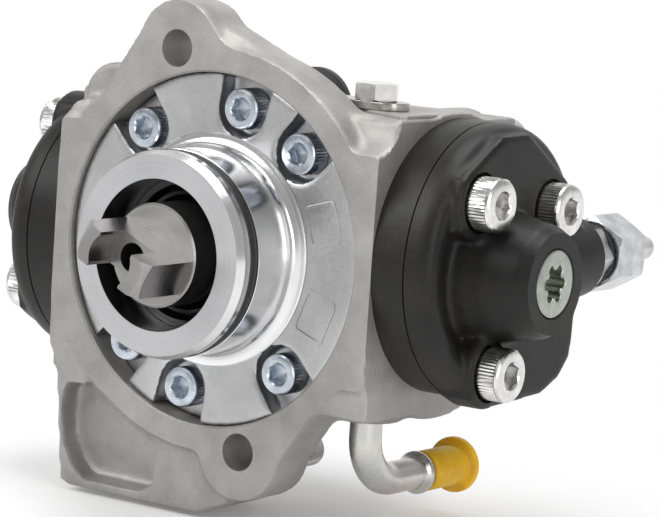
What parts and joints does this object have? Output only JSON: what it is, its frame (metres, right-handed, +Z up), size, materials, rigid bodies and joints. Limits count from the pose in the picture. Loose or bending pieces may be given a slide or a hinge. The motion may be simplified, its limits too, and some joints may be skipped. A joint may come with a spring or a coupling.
{
  "type": "diesel injection pump",
  "caption": "High-pressure diesel supply pump: an eccentric shaft with a forked drive tang works two opposed plungers in bolted heads, with a feed pump and a metering valve behind.",
  "frame": {"origin": "on the shaft axis in the plane of the mounting face", "axes": "+Y along the shaft from the drive end to the rear, +X to the right head seen from the drive end, +Z up"},
  "size_m": [0.1592, 0.1456, 0.1247],
  "materials": {
    "cast_aluminium": "fine-grained die-cast skin with machined faces",
    "turned_aluminium": "turned and milled, fine rings",
    "seal_rubber": "smooth moulded rubber",
    "zinc_screw": "bright zinc plate, knurled head",
    "bright_screw": "bright plated steel, knurled head",
    "bearing_bronze": "plain bearing bronze",
    "shaft_steel": "ground and milled hardened steel",
    "spring_steel": "drawn spring wire",
    "head_steel": "satin black phosphate",
    "plug_steel": "pale passivated zinc",
    "union_steel": "bright zinc plate",
    "pipe_steel": "satin plated tube with a faint iridescence",
    "cap_plastic": "soft translucent yellow polyethylene",
    "coil_plastic": "glass-filled black plastic"
  },
  "bodies": {
    "housing": {"pump_housing": "cast_aluminium", "front_cover": "turned_aluminium", "pilot_o_ring": "seal_rubber", "cover_seal": "seal_rubber", "front_cover_screws": "zinc_screw", "shaft_seal": "seal_rubber", "front_bush": "bearing_bronze", "rear_bush": "bearing_bronze", "outlet_union": "union_steel", "outlet_ring": "seal_rubber", "outlet_cap_nut": "union_steel", "outlet_stub": "union_steel", "delivery_plug_left": "plug_steel", "feed_plate": "shaft_steel", "rear_cover": "cast_aluminium", "rear_cover_screws": "zinc_screw", "valve_sleeve": "union_steel", "valve_coil": "coil_plastic", "valve_screws": "zinc_screw", "valve_spring": "spring_steel", "temperature_sensor": "union_steel", "return_pipe": "pipe_steel", "top_clamp": "bright_screw", "top_bolt": "bright_screw", "regulator_spring": "spring_steel", "regulator_plug": "shaft_steel", "plunger_spring_right": "spring_steel", "cylinder_head_right": "head_steel", "head_seal_right": "seal_rubber", "head_screws_right": "bright_screw", "head_plug_right": "plug_steel", "suction_seat_right": "shaft_steel", "suction_spring_right": "spring_steel", "delivery_spring_right": "spring_steel", "plunger_spring_left": "spring_steel", "cylinder_head_left": "head_steel", "head_seal_left": "seal_rubber", "head_screws_left": "bright_screw", "head_plug_left": "plug_steel", "suction_seat_left": "shaft_steel", "suction_spring_left": "spring_steel", "delivery_spring_left": "spring_steel"},
    "shaft": {"drive_shaft": "shaft_steel", "feed_inner_rotor": "shaft_steel"},
    "cam_ring": {"ring_cam": "shaft_steel", "ring_cam_bush": "bearing_bronze"},
    "outer_rotor": {"feed_outer_rotor": "shaft_steel"},
    "control_needle": {"valve_needle": "shaft_steel"},
    "feed_regulator": {"regulator_piston": "shaft_steel"},
    "cap": {"pipe_cap": "cap_plastic"},
    "plunger_set_right": {"plunger_right": "shaft_steel", "plunger_seat_right": "shaft_steel"},
    "inlet_valve_right": {"suction_valve_right": "shaft_steel"},
    "outlet_ball_right": {"delivery_ball_right": "shaft_steel"},
    "plunger_set_left": {"plunger_left": "shaft_steel", "plunger_seat_left": "shaft_steel"},
    "inlet_valve_left": {"suction_valve_left": "shaft_steel"},
    "outlet_ball_left": {"delivery_ball_left": "shaft_steel"}
  },
  "joints": [
    {"name": "shaft_spin", "type": "hinge", "parent": "housing", "child": "shaft", "pos_m": [0, 0, 0], "axis": [0, 1, 0], "continuous": true},
    {"name": "cam_ring_turn", "type": "hinge", "parent": "shaft", "child": "cam_ring", "pos_m": [0.0028, 0.031, 0], "axis": [0, 1, 0], "continuous": true},
    {"name": "outer_rotor_spin", "type": "hinge", "parent": "housing", "child": "outer_rotor", "pos_m": [-0.0015, 0.06, 0], "axis": [0, 1, 0], "continuous": true},
    {"name": "plunger_stroke_right", "type": "slide", "parent": "housing", "child": "plunger_set_right", "axis": [1, 0, 0], "range_m": [0, 0.0056], "deforming": ["plunger_spring_right"]},
    {"name": "suction_lift_right", "type": "slide", "parent": "housing", "child": "inlet_valve_right", "axis": [-1, 0, 0], "range_m": [0, 0.0009], "stiffness_N_per_m": 200, "deforming": ["suction_spring_right"]},
    {"name": "delivery_lift_right", "type": "slide", "parent": "housing", "child": "outlet_ball_right", "axis": [0, 1, 0], "range_m": [0, 0.001], "stiffness_N_per_m": 200, "deforming": ["delivery_spring_right"]},
    {"name": "plunger_stroke_left", "type": "slide", "parent": "housing", "child": "plunger_set_left", "axis": [-1, 0, 0], "range_m": [0, 0.0056], "deforming": ["plunger_spring_left"]},
    {"name": "suction_lift_left", "type": "slide", "parent": "housing", "child": "inlet_valve_left", "axis": [1, 0, 0], "range_m": [0, 0.0009], "stiffness_N_per_m": 200, "deforming": ["suction_spring_left"]},
    {"name": "delivery_lift_left", "type": "slide", "parent": "housing", "child": "outlet_ball_left", "axis": [0, 1, 0], "range_m": [0, 0.001], "stiffness_N_per_m": 200, "deforming": ["delivery_spring_left"]},
    {"name": "control_needle_stroke", "type": "slide", "parent": "housing", "child": "control_needle", "axis": [0, 1, 0], "range_m": [0, 0.003], "stiffness_N_per_m": 500, "deforming": ["valve_spring"]},
    {"name": "regulator_stroke", "type": "slide", "parent": "housing", "child": "feed_regulator", "axis": [0, 1, 0], "range_m": [0, 0.004], "stiffness_N_per_m": 500, "deforming": ["regulator_spring"]},
    {"name": "cap_pull_off", "type": "slide", "parent": "housing", "child": "cap", "axis": [0, 1, 0], "range_m": [0, 0.02]}
  ],
  "couplings": [
    {"joint": "cam_ring_turn", "follows": "shaft_spin", "ratio": -1},
    {"joint": "outer_rotor_spin", "follows": "shaft_spin", "ratio": 0.83333}
  ]
}
